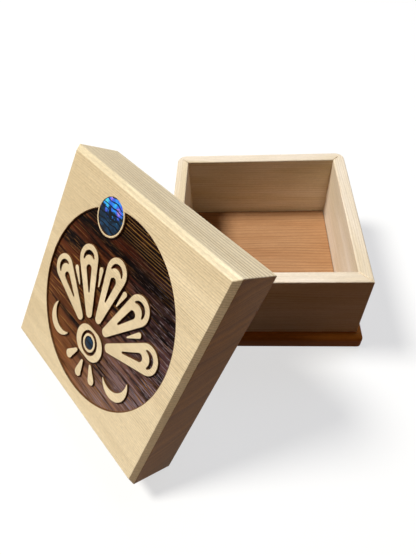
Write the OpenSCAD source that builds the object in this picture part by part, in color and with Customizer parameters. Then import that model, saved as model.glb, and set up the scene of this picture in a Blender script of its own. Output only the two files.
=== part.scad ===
// Bentwood box: one plank bent round three corners and pegged at the fourth, a pegged bottom
// board, and a loose plank lid, taken off and leaning on one bent corner. Millimetres, +Z up.
// The origin is the centre of the bottom board's underside.

/* [Bent sides] */
// Outside width and depth of the bent plank
box_side = 103.4; // [90:0.2:120]
// Height of the rim above the table
box_height = 55; // [45:0.5:70]
// Thickness of the side plank
wall = 6.8; // [5.5:0.1:9]
// Outer radius of the three bent corners
bend_radius = 5.5; // [2:0.5:8]
// Width of the kerf that closes up inside each bend
kerf_width = 0.4; // [0.2:0.1:0.8]
// Wood left between a kerf and the outside of its bend
kerf_web = 3; // [2:0.5:4]
// Width of the glue line in the mitred corner
glue_line = 0.2; // [0.1:0.05:0.4]

/* [Bottom board] */
// Thickness of the bottom board under the walls
board_thick = 9.9; // [7:0.1:14]
// How far the bottom board stands out past the walls
board_overhang = 3.8; // [2.5:0.1:8]
// Rounding of the bottom board's upper edges, which stops at the walls
board_round = 3.6; // [0.5:0.1:5]
// Rounding of the bottom board's lower edges
board_foot_round = 0.8; // [0.3:0.1:2.4]
// Rounding of the bottom board's four corners
board_corner = 2.2; // [0.5:0.1:2.4]
// Height of the raised panel that the walls go round
panel_height = 3; // [1:0.5:8]
// Clearance between the raised panel and the walls
panel_clearance = 0.2; // [0.1:0.05:0.5]

/* [Pegs] */
// Diameter of every peg
peg_diameter = 3; // [2:0.1:4]
// Clearance round a peg in its hole, filled by glue
peg_clearance = 0.05; // [0.02:0.01:0.1]
// Pegs down the mitred corner
corner_pegs = 4; // [2:1:5]
// Length of a corner peg
corner_peg_length = 20; // [12:1:28]
// Height of the lowest and highest corner pegs from the ends of the corner
corner_peg_margin = 6.5; // [4:0.5:10]
// Pegs under each wall
wall_pegs = 2; // [2:1:3]
// Length of a bottom peg
bottom_peg_length = 22; // [16:1:30]
// Distance of the outer bottom pegs from the outside of the next wall
bottom_peg_margin = 24; // [12:0.5:26]

/* [Lid] */
// How far the lid stands out past the walls
lid_overhang = 5.3; // [3.5:0.1:10]
// Thickness of the lid above the rim
lid_thick = 25; // [14:0.5:35]
// Chamfer round the lid's face
lid_chamfer = 2.4; // [1:0.1:4]
// Depth of the step under the lid that drops into the box
plug_depth = 6.5; // [3:0.5:10]
// Clearance between the step under the lid and the walls
plug_clearance = 0.5; // [0.3:0.1:1]

/* [Lid taken off] */
// Turn of the lid from the front of the box, seen from above
lid_yaw = -47.5; // [-60:0.25:-30]
// Lean of the lid from upright
lid_lean = 36.1; // [25:0.1:45]
// Distance along the lid from its middle to the corner that it leans on
lean_offset = 2.2; // [-10:0.2:10]
// Gap left between the lid and the corner that it leans on
lean_gap = 0.3; // [0.2:0.1:0.5]

/* [Carving] */
// Radius of the sunk ground in the lid's face
ground_radius = 47; // [40:0.5:50]
// Depth of the sunk ground
ground_depth = 0.9; // [0.6:0.1:3]
// Distance of the fan's hub below the middle of the ground
hub_drop = 20; // [16:0.5:22]
// Radius of the hub's round ends
hub_radius = 8; // [7:0.1:9]
// Distance between the hub's round ends
hub_length = 5; // [2:0.5:8]
// Outer radius of the sunk ring in the hub
eye_radius = 6.2; // [5.6:0.1:6.6]
// Width of the sunk ring in the hub
eye_width = 1.4; // [0.6:0.1:1.6]
// Feathers in the fan
feathers = 5; // [3:2:7]
// Angle between neighbouring feathers
feather_step = 30; // [22:1:34]
// Distance of a feather's root from the hub's middle
feather_start = 14.5; // [13.5:0.5:18]
// Length of a feather between its root and tip centres
feather_length = 26; // [20:0.5:28]
// Radius of a feather's root
feather_root = 2.4; // [1.5:0.1:3]
// Radius of a feather's tip
feather_tip = 7.2; // [5.5:0.1:8]
// Radius of the crescent cut in a feather's tip
crescent_radius = 4.2; // [3:0.1:5]
// Shift of the circle that hollows out a feather's crescent
crescent_rise = 2.2; // [1:0.1:3]
// Length of the tear cut in a feather between its end centres
tear_length = 11; // [6:0.5:14]
// Radius of the tear's wide end
tear_radius = 1.9; // [1:0.1:2.4]
// Radius of the tear's narrow end
tear_point = 0.4; // [0.2:0.1:0.8]
// Distance from a feather's tip centre down to its tear's wide end
tear_drop = 4.6; // [3:0.2:7]
// Distance of the buds between the feathers from the hub's middle
bud_start = 29; // [26:0.5:32]
// Length of a bud between its end centres
bud_length = 8; // [4:0.5:10]
// Radius of a bud's wide end
bud_radius = 1.5; // [0.8:0.1:1.8]
// Radius of a bud's narrow end
bud_point = 0.5; // [0.3:0.1:0.7]
// Roots under the hub
roots = 3; // [1:2:5]
// Angle between neighbouring roots
root_step = 34; // [28:1:40]
// Distance of a root from the hub's middle
root_start = 11.5; // [11:0.5:14]
// Length of a root between its end centres
root_length = 7; // [4:0.5:9]
// Radius of a root's wide end
root_radius = 2.4; // [1.5:0.1:3]
// Radius of a root's narrow end
root_point = 1; // [0.5:0.1:1.4]
// Radius of the moons beside the hub
moon_radius = 9; // [6:0.5:10]
// Shift of the circle that hollows out a moon
moon_rise = 4.6; // [3:0.2:7]
// Distance of a moon's middle from the lid's upright centre line
moon_side = 24.5; // [22:0.5:27]
// Distance of a moon's middle below the middle of the ground
moon_drop = 23.5; // [20:0.5:26]
// Tilt of a moon towards the hub
moon_tilt = 32; // [0:1:60]

/* [Shell] */
// Radius of the large shell disc
shell_radius = 8.6; // [6:0.1:10]
// Width of the wooden ring left round the large shell disc
shell_ring = 1.4; // [0.8:0.1:3]
// Distance of the large disc's middle inside the edge of the ground
shell_inset = 3.6; // [0:0.1:6]
// Direction of the large disc from the lid's middle
shell_angle = 112.2; // [100:0.2:130]
// Radius of the small shell disc in the hub
inlay_radius = 3.2; // [2:0.1:3.6]
// Thickness of both discs
shell_thick = 1.8; // [1:0.1:3]
// Clearance round a disc in its socket
shell_clearance = 0.1; // [0.05:0.05:0.2]

/* [Hidden] */
$fn = 96;
// Overshoot of a cutting shape past the face that it cuts
cut = 1;
// Length of the flats that follow the round ends of the carving
facet = 0.7;
opening = box_side - 2 * wall;
peg_radius = peg_diameter / 2;
hole_radius = peg_radius + peg_clearance;
wall_middle = (box_side - wall) / 2;
// From the inside corner along the diagonal to the outside of a bend, less the web
kerf_depth = sqrt(2) * (wall - bend_radius * (1 - sqrt(0.5))) - kerf_web;
lid_side = box_side + 2 * lid_overhang;
plug_side = opening - 2 * plug_clearance;

// The lid's directions in plan, along its lower edge and away from its face
lid_along = [cos(lid_yaw), sin(lid_yaw)];
lid_away = [-sin(lid_yaw), cos(lid_yaw)];
// The point on the rim of the front left bend that the lid leans on
bend_middle = bend_radius - box_side / 2;
lean_point = [bend_middle, bend_middle] - bend_radius * lid_away;
// The distance in plan from the lid's lower back edge to that point
lean_reach = (box_height * sin(lid_lean) + plug_depth + lean_gap) / cos(lid_lean);
lid_origin = lean_point - lean_offset * lid_along - lean_reach * lid_away;

ring_radius = shell_radius + shell_ring;
shell_distance = ground_radius - shell_inset;
shell_place = shell_distance * [cos(shell_angle), sin(shell_angle)];
inlay_place = [0, -hub_drop];

bottom_pegs = 4 * wall_pegs;

function corner_peg_height(i) = board_thick + corner_peg_margin
    + (i - 1) * (box_height - board_thick - 2 * corner_peg_margin) / (corner_pegs - 1);

// Bottom pegs are numbered wall by wall, anticlockwise from the front
function bottom_peg_turn(i) = 90 * floor((i - 1) / wall_pegs);
function bottom_peg_along(i) = (box_side / 2 - bottom_peg_margin)
    * (2 * ((i - 1) % wall_pegs) / (wall_pegs - 1) - 1);

module rounded_rectangle(width, depth, radius) {
    square([width - 2 * radius, depth], center = true);
    square([width, depth - 2 * radius], center = true);
    for (x = [-1, 1], y = [-1, 1])
        translate([x * (width / 2 - radius), y * (depth / 2 - radius)]) circle(radius);
}

// A profile in X and Z run along Y, met by the same profile turned a quarter
module crossed_profile(side) {
    intersection() {
        rotate([90, 0, 0]) linear_extrude(side, center = true) children();
        rotate([90, 0, 90]) linear_extrude(side, center = true) children();
    }
}

// Points round a centre, about facet apart
function arc(centre, radius, from, to) = let (steps = max(8, ceil(radius * (to - from) * PI / 180 / facet)))
    [for (i = [0:steps]) let (a = from + (to - from) * i / steps) centre + radius * [cos(a), sin(a)]];

// Two round ends and the straight sides that touch both, from a root up to a tip
module taper(length, root, tip) {
    slope = asin((tip - root) / length);
    polygon(concat(
        arc([0, 0], root, 180 + slope, 360 - slope),
        arc([0, length], tip, -slope, 180 + slope)
    ));
}

// A circle hollowed out from above
module crescent(radius, rise) {
    difference() {
        circle(radius);
        translate([0, rise]) circle(radius);
    }
}

// The outline of the bent plank, with its front right corner left square for the mitre
module bent_outline() {
    difference() {
        union() {
            rounded_rectangle(box_side, box_side, bend_radius);
            translate([box_side / 2 - wall, -box_side / 2]) square(wall);
        }
        square(opening, center = true);
        for (turn = [90, 180, 270])
            rotate(turn) translate([opening, -opening] / 2) rotate(-45)
                translate([-cut, -kerf_width / 2]) square([cut + kerf_depth, kerf_width]);
        translate([opening, -opening] / 2) rotate(-45)
            translate([-cut, -glue_line / 2]) square([2 * cut + sqrt(2) * wall, glue_line]);
    }
}

module corner_peg_shape(i, radius, extra) {
    translate([box_side / 2 - corner_peg_length, -wall_middle, corner_peg_height(i)])
        rotate([0, 90, 0]) cylinder(r = radius, h = corner_peg_length + extra);
}

module bottom_peg_shape(i, radius, extra) {
    rotate(bottom_peg_turn(i)) translate([bottom_peg_along(i), -wall_middle, -extra])
        cylinder(r = radius, h = bottom_peg_length + extra);
}

module peg_holes() {
    for (i = [1:corner_pegs]) corner_peg_shape(i, hole_radius, cut);
    for (i = [1:bottom_pegs]) bottom_peg_shape(i, hole_radius, cut);
}

module side_plank() {
    color([0.88, 0.77, 0.6]) difference() {
        translate([0, 0, board_thick]) linear_extrude(box_height - board_thick) bent_outline();
        peg_holes();
    }
}

// The upper edges of one rounded shape and the lower edges of another
module board_profile(side) {
    intersection() {
        rounded_rectangle(side, 2 * board_thick, min(board_round, board_overhang));
        translate([0, board_thick]) rounded_rectangle(side, 2 * board_thick, board_foot_round);
    }
}

module bottom_board() {
    board_side = box_side + 2 * board_overhang;
    color([0.62, 0.4, 0.24]) difference() {
        union() {
            intersection() {
                linear_extrude(board_thick) rounded_rectangle(board_side, board_side, board_corner);
                crossed_profile(board_side) board_profile(board_side);
            }
            translate([0, 0, board_thick / 2]) linear_extrude(board_thick / 2 + panel_height)
                square(opening - 2 * panel_clearance, center = true);
        }
        peg_holes();
    }
}

module corner_peg(i) {
    color([0.8, 0.66, 0.46]) corner_peg_shape(i, peg_radius, 0);
}

module bottom_peg(i) {
    color([0.8, 0.66, 0.46]) bottom_peg_shape(i, peg_radius, 0);
}

// Stands the lid on its lower back edge and leans it on the box. Inside, X runs along that edge,
// Y up the lid from its middle and Z out of its face from the plane that sits on the rim.
module lean_lid() {
    translate([lid_origin.x, lid_origin.y, 0]) rotate(lid_yaw) rotate([90 - lid_lean, 0, 0])
        translate([0, lid_side / 2]) children();
}

module feather() {
    difference() {
        taper(feather_length, feather_root, feather_tip);
        translate([0, feather_length]) rotate(180) crescent(crescent_radius, crescent_rise);
        translate([0, feather_length - tear_drop - tear_length])
            taper(tear_length, tear_point, tear_radius);
    }
}

module hub() {
    difference() {
        rotate(90) translate([0, -hub_length / 2]) taper(hub_length, hub_radius, hub_radius);
        circle(eye_radius);
    }
    circle(eye_radius - eye_width);
}

// Copies a shape at even steps round the hub, spread evenly about one direction
module fan(count, step, middle, start) {
    for (i = [0:count - 1])
        rotate(middle + step * (i - (count - 1) / 2)) translate([0, start]) children();
}

// What stays at the height of the lid's face inside the sunk ground
module relief() {
    translate([0, -hub_drop]) {
        hub();
        fan(feathers, feather_step, 0, feather_start) feather();
        fan(feathers - 1, feather_step, 0, bud_start) taper(bud_length, bud_point, bud_radius);
        fan(roots, root_step, 180, root_start) taper(root_length, root_point, root_radius);
    }
    for (side = [-1, 1])
        translate([side * moon_side, -moon_drop]) rotate(side * moon_tilt)
            crescent(moon_radius, moon_rise);
}

module sunk_ground() {
    translate([0, 0, lid_thick - ground_depth]) linear_extrude(ground_depth + cut) difference() {
        circle(ground_radius);
        translate(shell_place) circle(ring_radius);
        relief();
    }
}

module shell_at(place, radius, extra) {
    translate([place.x, place.y, lid_thick - shell_thick])
        cylinder(r = radius, h = shell_thick + extra);
}

module lid_plank() {
    color([0.89, 0.78, 0.62]) lean_lid() difference() {
        union() {
            crossed_profile(lid_side) polygon([
                [-lid_side / 2, 0],
                [lid_side / 2, 0],
                [lid_side / 2, lid_thick - lid_chamfer],
                [lid_side / 2 - lid_chamfer, lid_thick],
                [lid_chamfer - lid_side / 2, lid_thick],
                [-lid_side / 2, lid_thick - lid_chamfer],
            ]);
            translate([0, 0, -plug_depth]) linear_extrude(plug_depth + cut)
                square(plug_side, center = true);
        }
        sunk_ground();
        shell_at(shell_place, shell_radius + shell_clearance, cut);
        shell_at(inlay_place, inlay_radius + shell_clearance, cut);
    }
}

module shell_disc() {
    color([0.2, 0.4, 0.75]) lean_lid() shell_at(shell_place, shell_radius, 0);
}

module shell_inlay() {
    color([0.35, 0.5, 0.65]) lean_lid() shell_at(inlay_place, inlay_radius, 0);
}

side_plank();
bottom_board();
for (i = [1:corner_pegs])
    corner_peg(i);
for (i = [1:bottom_pegs])
    bottom_peg(i);
lid_plank();
shell_disc();
shell_inlay();
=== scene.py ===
import math

import bmesh
import bpy
import numpy as np
from mathutils import Matrix, Vector, noise
from mathutils.geometry import delaunay_2d_cdt


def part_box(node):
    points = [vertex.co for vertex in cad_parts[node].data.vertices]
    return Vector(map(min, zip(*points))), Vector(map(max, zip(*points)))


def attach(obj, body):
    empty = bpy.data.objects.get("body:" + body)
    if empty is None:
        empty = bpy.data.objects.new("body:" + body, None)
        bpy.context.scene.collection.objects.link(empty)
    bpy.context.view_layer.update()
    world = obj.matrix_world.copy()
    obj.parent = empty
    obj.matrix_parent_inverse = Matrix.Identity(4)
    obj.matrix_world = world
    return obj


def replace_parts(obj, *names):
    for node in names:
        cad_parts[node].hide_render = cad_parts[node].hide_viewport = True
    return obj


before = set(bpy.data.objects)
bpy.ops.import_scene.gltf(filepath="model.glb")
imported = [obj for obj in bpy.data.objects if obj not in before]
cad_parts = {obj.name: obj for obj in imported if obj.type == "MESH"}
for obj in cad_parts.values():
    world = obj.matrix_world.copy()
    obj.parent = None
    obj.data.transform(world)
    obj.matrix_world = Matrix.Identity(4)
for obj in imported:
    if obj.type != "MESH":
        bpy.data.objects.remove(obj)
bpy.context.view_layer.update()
mm = 0.001  # outlines and profiles are in millimetres, finished meshes in metres
boxPlace = Matrix.Scale(mm, 4)
unmoved = Matrix.Identity(4)


# outlines, counter-clockwise lists of (x, y)
def arc(x, y, radius, start, end, step=0.45):
    count = max(5, math.ceil(abs(math.radians(end - start)) * radius / step))
    angles = [math.radians(start + (end - start) * i / count) for i in range(count + 1)]
    return [(x + radius * math.cos(a), y + radius * math.sin(a)) for a in angles]


def circleOutline(x, y, radius, step=0.45):
    return arc(x, y, radius, 0, 360, step)[:-1]


def roundedSquare(side, radius):
    reach = side / 2 - radius
    corners = [(1, -1, -90), (1, 1, 0), (-1, 1, 90), (-1, -1, 180)]
    return [p for sx, sy, a in corners for p in arc(sx * reach, sy * reach, radius, a, a + 90)]


def squareInwards(side, radius):
    # a rounded square for each inset, its corner radius kept
    return lambda inset: roundedSquare(side - 2 * inset, radius)


def taperOutline(length, root, tip):
    slope = math.degrees(math.asin((tip - root) / length))
    return arc(0, 0, root, 180 + slope, 360 - slope) + arc(0, length, tip, -slope, 180 + slope)


def crescentOutline(radius, rise, blunt):
    # a circle less the same circle moved up, its horns rounded off where they are 2 blunt wide
    reach = radius + 2 * blunt  # from the upper circle's middle to the lower circle
    lift = (radius ** 2 + rise ** 2 - reach ** 2) / (2 * radius * rise)
    end = 360 + math.degrees(math.asin(lift))
    lowX = radius * math.cos(math.radians(end))
    lowY = radius * math.sin(math.radians(end))
    out = math.degrees(math.atan2(lowY - rise, lowX))
    hornX = (radius + blunt) * math.cos(math.radians(out))
    hornY = (radius + blunt) * math.sin(math.radians(out)) + rise
    outer = arc(0, 0, radius, 540 - end, end)
    inner = arc(0, rise, radius, out, -180 - out)
    rightHorn = arc(hornX, hornY, blunt, out, out + 180)
    leftHorn = arc(-hornX, hornY, blunt, 360 - out, 540 - out)
    return outer + rightHorn[1:] + inner[1:] + leftHorn[1:-1]


def moved(outline, turn=0.0, x=0.0, y=0.0):
    c = math.cos(math.radians(turn))
    s = math.sin(math.radians(turn))
    return [(x + c * px - s * py, y + s * px + c * py) for px, py in outline]


def insetOutline(outline, distance):
    # moves every side inwards, or outwards where distance is negative
    points = np.array(outline)
    ahead = np.roll(points, -1, axis=0) - points
    ahead /= np.linalg.norm(ahead, axis=1)[:, None]
    left = np.stack([-ahead[:, 1], ahead[:, 0]], axis=1)
    before = np.roll(left, 1, axis=0)
    spread = np.maximum(1 + (left * before).sum(axis=1), 0.2)
    return [tuple(p) for p in points + distance * (left + before) / spread[:, None]]


# profiles, lists of (inset, height)
def easedProfile(points, ease):
    # rounds each inner corner with three points
    made = [points[0]]
    for a, b, c in zip(points, points[1:], points[2:]):
        a, b, c = Vector(a), Vector(b), Vector(c)
        p = b + (a - b).normalized() * min(ease, (a - b).length * 0.49)
        q = b + (c - b).normalized() * min(ease, (c - b).length * 0.49)
        made += [tuple(p), tuple(p * 0.25 + b * 0.5 + q * 0.25), tuple(q)]
    return made + [points[-1]]


def roundOver(top, edge, sign=1):
    # a softened upper edge in three points; sign is -1 where the wood lies outside the outline
    knee = edge * 0.3
    return [(0, top - edge), (sign * knee, top - knee), (sign * edge, top)]


# mesh building: a ring is (vertices, outline)
def addRing(bm, outline, height, place):
    heights = height if hasattr(height, "__len__") else [height] * len(outline)
    verts = [bm.verts.new(place @ Vector((x, y, z))) for (x, y), z in zip(outline, heights)]
    return verts, outline


def bridge(bm, low, high, material):
    a, b = low[0], high[0]
    for i in range(len(a)):
        j = (i + 1) % len(a)
        bm.faces.new((a[i], a[j], b[j], b[i])).material_index = material


def loft(bm, outline, profile, place, material):
    # outline is a list of points, or a function that gives them for an inset
    inwards = outline if callable(outline) else lambda inset: insetOutline(outline, inset)
    rings = [addRing(bm, inwards(inset), z, place) for inset, z in profile]
    for low, high in zip(rings, rings[1:]):
        bridge(bm, low, high, material)
    return rings


def insideRings(points, rings):
    # even-odd test against every ring at once
    odd = np.zeros(len(points), bool)
    for _, outline in rings:
        loop = np.array(outline)
        for (x0, y0), (x1, y1) in zip(loop, np.roll(loop, -1, axis=0)):
            if y0 == y1:
                continue
            crossed = (y0 > points[:, 1]) != (y1 > points[:, 1])
            reach = x0 + (points[:, 1] - y0) * (x1 - x0) / (y1 - y0)
            odd ^= crossed & (points[:, 0] < reach)
    return odd


def fillRings(bm, rings, material, loose=((), ())):
    # triangles between flat rings, with loose vertices inside where a surface needs them
    verts, points, edges = [], [], []
    for ringVerts, outline in rings:
        first = len(verts)
        verts += ringVerts
        points += outline
        edges += [(first + i, first + (i + 1) % len(outline)) for i in range(len(outline))]
    verts += loose[0]
    points += loose[1]
    found = delaunay_2d_cdt([Vector(p) for p in points], edges, [], 0, 1e-7)
    source = [ids[0] for ids in found[3]]
    triangles = np.array(found[2])
    corners = np.array([tuple(p) for p in found[0]])
    kept = insideRings(corners[triangles].mean(axis=1), rings)
    for triangle in triangles[kept]:
        bm.faces.new([verts[source[i]] for i in triangle]).material_index = material


def linked(name, data):
    made = bpy.data.objects.new(name, data)
    bpy.context.scene.collection.objects.link(made)
    return made


def finishMesh(bm, name, materials):
    bmesh.ops.remove_doubles(bm, verts=bm.verts, dist=1e-7)
    bmesh.ops.recalc_face_normals(bm, faces=bm.faces)
    mesh = bpy.data.meshes.new(name)
    bm.to_mesh(mesh)
    bm.free()
    for material in materials:
        mesh.materials.append(material)
    return linked(name, mesh)


def closedLoft(name, outline, profile, place, materials):
    bm = bmesh.new()
    rings = loft(bm, outline, profile, place, 0)
    fillRings(bm, [rings[0]], 0)
    fillRings(bm, [rings[-1]], 0)
    return finishMesh(bm, name, materials)


def plainMesh(source, modifier, name):
    # what the modifier makes of an object, as a mesh of its own
    evaluated = source.evaluated_get(bpy.context.evaluated_depsgraph_get())
    mesh = bpy.data.meshes.new_from_object(evaluated)
    mesh.name = name
    source.modifiers.remove(modifier)
    return mesh


def crisp(piece, sharpAngle=60):
    # broad faces stay flat and only the narrow eased edges turn
    piece.data.shade_smooth()
    piece.data.set_sharp_from_angle(angle=math.radians(sharpAngle))
    weigh = piece.modifiers.new("broad_faces_flat", "WEIGHTED_NORMAL")
    weigh.keep_sharp = True
    piece.data = plainMesh(piece, weigh, piece.name)
    return piece


# node trees
def linear(hexColour):
    channels = [int(hexColour[i:i + 2], 16) / 255 for i in (1, 3, 5)]
    return (*[c / 12.92 if c <= 0.04045 else ((c + 0.055) / 1.055) ** 2.4 for c in channels], 1.0)


def hexStops(stops):
    return [(at, linear(tone)) for at, tone in stops]


def setInputs(node, inputs):
    # an input is a value, or the output that is linked to it
    for name, value in inputs.items():
        if isinstance(value, bpy.types.NodeSocket):
            node.id_data.links.new(value, node.inputs[name])
        else:
            node.inputs[name].default_value = value


def addNode(tree, kind, inputs=(), output=0, **settings):
    # a kind with no Node in its name is a shader node; gives the output that the next node reads
    node = tree.nodes.new(kind if "Node" in kind else "ShaderNode" + kind)
    for name, value in settings.items():
        if name == "stops":
            elements = node.color_ramp.elements
            while len(elements) < len(value):
                elements.new(0.5)
            for element, (position, colour) in zip(elements, value):
                element.position = position
                element.color = colour
        else:
            setattr(node, name, value)
    setInputs(node, dict(inputs))
    return node.outputs[output]


def newMaterial(name):
    material = bpy.data.materials.new(name)
    material.use_nodes = True
    tree = material.node_tree
    return material, tree, tree.nodes["Principled BSDF"]


def newTree(name, sockets):
    # a geometry tree, and what its modifier is given
    tree = bpy.data.node_groups.new(name, "GeometryNodeTree")
    for label, kind, value in [("Geometry", "Geometry", None), *sockets]:
        socket = tree.interface.new_socket(label, in_out="INPUT", socket_type="NodeSocket" + kind)
        if value is not None:
            socket.default_value = value
    tree.interface.new_socket("Geometry", in_out="OUTPUT", socket_type="NodeSocketGeometry")
    return tree, addNode(tree, "NodeGroupInput").node.outputs


def ownAxes(tree, place):
    # places on a piece along its own axes, in millimetres
    return addNode(tree, "Mapping", {
        "Vector": addNode(tree, "TexCoord", output="Object"),
        "Location": place.to_translation(),
        "Rotation": place.to_euler(),
        "Scale": (mm, mm, mm),
    }, vector_type="TEXTURE")


def fadeAlong(tree, vector, direction, ends, values=(0.0, 1.0), interpolation="LINEAR"):
    # goes from one value to the other between two places along a direction
    place = addNode(tree, "VectorMath", {0: vector, 1: direction}, "Value", operation="DOT_PRODUCT")
    return addNode(tree, "MapRange", {
        "Value": place, "From Min": ends[0], "From Max": ends[1],
        "To Min": values[0], "To Max": values[1],
    }, interpolation_type=interpolation)


def grainPatterns(tree, vector, patterns):
    # noise drawn out along the grain, from its scale for each millimetre, offset, detail, roughness
    made = []
    for scale, offset, detail, roughness in patterns:
        spot = addNode(tree, "Mapping", {"Vector": vector, "Scale": scale, "Location": offset})
        made.append(addNode(tree, "TexNoise", {
            "Vector": spot, "Scale": 1.0, "Detail": detail, "Roughness": roughness,
        }))
    return made


def layered(tree, colour, layers):
    # tones over one another, from what is measured, where a tone comes in and its shares there
    for measure, start, end, low, high, tone in layers:
        share = addNode(tree, "MapRange", {
            "Value": measure, "From Min": start, "From Max": end, "To Min": low, "To Max": high,
        }, interpolation_type="SMOOTHSTEP")
        colour = addNode(tree, "Mix", {0: share, 6: colour, 7: tone}, 2, data_type="RGBA")
    return colour


noiseSpan = {"From Min": 0.3, "From Max": 0.7}  # where nearly all of a noise lies

# what most of the planed wood shares; the rest of a look is given with its piece
cedarLook = {
    "place": unmoved,
    "rings": (0.05, 0.4),  # how strongly the faintest and the boldest years show
    "fibreLow": 0.85,  # tone of the darkest fibres
    "fleck": 0.05,
    "patchDetail": 2.0,
    "gloss": 0.06,
    "roughness": 0.5,
    "bump": 0.4,
}


def cedarMaterial(name, look):
    # planed cedar under thin satin varnish: pale wood with fine darker lines of late growth,
    # a silky sheen and browner end grain
    material, tree, shader = newMaterial(name)
    if look["place"] is not None:
        vector = ownAxes(tree, look["place"])
    else:  # along the plank as it lay before it was bent
        vector = addNode(tree, "Attribute", output="Vector", attribute_name="grain")
    normal = addNode(tree, "TexCoord", output="Normal")
    pale, warm, lateTone = [linear(tone) for tone in look["tones"]]
    waver, fibre, fleck, patch = grainPatterns(tree, vector, [
        ((1 / 160, 1 / 26, 1 / 26), look["offset"], 2.0, 0.45),  # slow waver of the growth lines
        ((0.09, 1.7, 1.7), (0, 0, 0), 4.0, 0.7),  # fibres, drawn about 0.5 mm wide so that they show
        ((0.5, 1.6, 1.6), (7.0, 3.0, 1.0), 2.0, 0.6),  # flecks where the plane cut across the fibres
        ((1 / 90, 1 / 12, 1 / 12), (3.1, 0.7, 5.2), look["patchDetail"], 0.6),  # warmer, paler patches
    ])
    ringPlace = addNode(tree, "VectorMath", {0: vector, 1: look["ringNormal"]}, "Value",
                        operation="DOT_PRODUCT")
    ringPlace = addNode(tree, "Math", {0: waver, 1: look["waver"], 2: ringPlace},
                        operation="MULTIPLY_ADD")
    # years of wide and narrow growth
    uneven = addNode(tree, "TexNoise", {"W": ringPlace, "Scale": 0.16, "Detail": 1.0},
                     noise_dimensions="1D")
    ringPlace = addNode(tree, "Math", {0: uneven, 1: 2.0, 2: ringPlace}, operation="MULTIPLY_ADD")
    years = addNode(tree, "Math", {0: ringPlace, 1: look["ringSpacing"]}, operation="DIVIDE")
    year = addNode(tree, "Math", {0: years}, operation="FRACT")
    late = [(0.0, 0.2), (0.1, 0.0), (0.5, 0.1), (0.74, 0.85), (0.92, 1.0)]  # through one year
    late = addNode(tree, "ValToRGB", {"Fac": year},
                   stops=[(at, (share, share, share, 1)) for at, share in late])
    # some years show strongly and some hardly at all
    strength = addNode(tree, "TexNoise", {
        "W": years, "Scale": 0.15, "Detail": 3.0, "Roughness": 0.75,
    }, noise_dimensions="1D")
    strength = addNode(tree, "MapRange", {
        "Value": strength, **noiseSpan, "To Min": look["rings"][0], "To Max": look["rings"][1],
    })
    if "clearAlong" in look:  # the figure is clear at the quarter-sawn corner and fades away from it
        clear = fadeAlong(tree, vector, look["clearAlong"], look["clearEnds"],
                          (look["clearLeast"], 1.0), "SMOOTHSTEP")
        strength = addNode(tree, "Math", {0: strength, 1: clear}, operation="MULTIPLY")
    if "flatSide" in look:  # broader and bolder figure on the flat-sawn side
        bold = fadeAlong(tree, normal, look["flatSide"], (0.75, 1.0), (1.0, look["flatBold"]))
        strength = addNode(tree, "Math", {0: strength, 1: bold}, operation="MULTIPLY", use_clamp=True)
    lines = addNode(tree, "Math", {0: late, 1: strength}, operation="MULTIPLY")
    if "warmAlong" in look:  # warmer towards one end; on the bent plank this is painted shade, darker towards the left wall
        lean = addNode(tree, "VectorMath", {0: vector, 1: look["warmAlong"]}, "Value",
                       operation="DOT_PRODUCT")
        for more in (lean, look["warmStart"]):
            patch = addNode(tree, "Math", {0: patch, 1: more}, operation="ADD")
    patch = addNode(tree, "MapRange", {"Value": patch, **noiseSpan})
    colour = pale
    for share, tone in [(patch, warm), (lines, lateTone)]:
        colour = addNode(tree, "Mix", {0: share, 6: colour, 7: tone}, 2, data_type="RGBA")
    for pattern, low, high in [(fibre, look["fibreLow"], 1.05),
                               (fleck, 1 - look["fleck"], 1 + look["fleck"])]:
        tone = addNode(tree, "MapRange", {
            "Value": pattern, **noiseSpan, "To Min": low, "To Max": high,
        })
        colour = addNode(tree, "VectorMath", {0: colour, "Scale": tone}, operation="SCALE")
    if "flatSide" in look:  # that side is also painted a little cooler and greyer, standing in for the bluish sky light on it
        grey = fadeAlong(tree, normal, look["flatSide"], (0.3, 0.7))
        colour = addNode(tree, "Mix", {0: grey, 6: colour, 7: look["paintedSkyTint"]}, 2,
                         data_type="RGBA", blend_type="MULTIPLY")
    if "grainAxis" in look:  # end grain soaks up varnish and goes brown
        facing = addNode(tree, "VectorMath", {0: normal, 1: look["grainAxis"]}, "Value",
                         operation="DOT_PRODUCT")
        facing = addNode(tree, "Math", {0: facing}, operation="ABSOLUTE")
        facing = addNode(tree, "MapRange", {
            "Value": facing, "From Min": 0.58, "From Max": 1.0, "To Max": look["endAmount"],
        }, interpolation_type="SMOOTHSTEP")
        saw = addNode(tree, "TexNoise", {
            "W": ringPlace, "Scale": 0.2, "Detail": 4.0, "Roughness": 0.6,
        }, noise_dimensions="1D")
        saw = addNode(tree, "MapRange", {"Value": saw, **noiseSpan})
        dark, light = [linear(tone) for tone in look["endTones"]]
        endTone = addNode(tree, "Mix", {0: saw, 6: dark, 7: light}, 2, data_type="RGBA")
        colour = addNode(tree, "Mix", {0: facing, 6: colour, 7: endTone}, 2,
                         data_type="RGBA", blend_type="MULTIPLY")
    sheen = addNode(tree, "MapRange", {
        "Value": fibre, "From Min": 0.25, "From Max": 0.75,
        "To Min": look["roughness"] - 0.06, "To Max": look["roughness"] + 0.08,
    })
    standing = addNode(tree, "Math", {0: lines, 1: 0.5, 2: fibre}, operation="MULTIPLY_ADD")
    bump = addNode(tree, "Bump", {"Height": standing, "Strength": look["bump"], "Distance": 0.05 * mm})
    setInputs(shader, {
        "Base Color": colour, "Roughness": sheen, "Normal": bump,
        "IOR": 1.5, "Specular IOR Level": look["gloss"],
    })
    return material


# what turns shapes into pieces
def grown(source, tree, values, name):
    # runs a tree on a source object and keeps the result as a plain mesh
    grower = source.modifiers.new(name, "NODES")
    grower.node_group = tree
    for item in tree.interface.items_tree:
        if item.in_out == "INPUT" and item.name in values:
            grower[item.identifier] = values[item.name]
    return plainMesh(source, grower, name)


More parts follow.
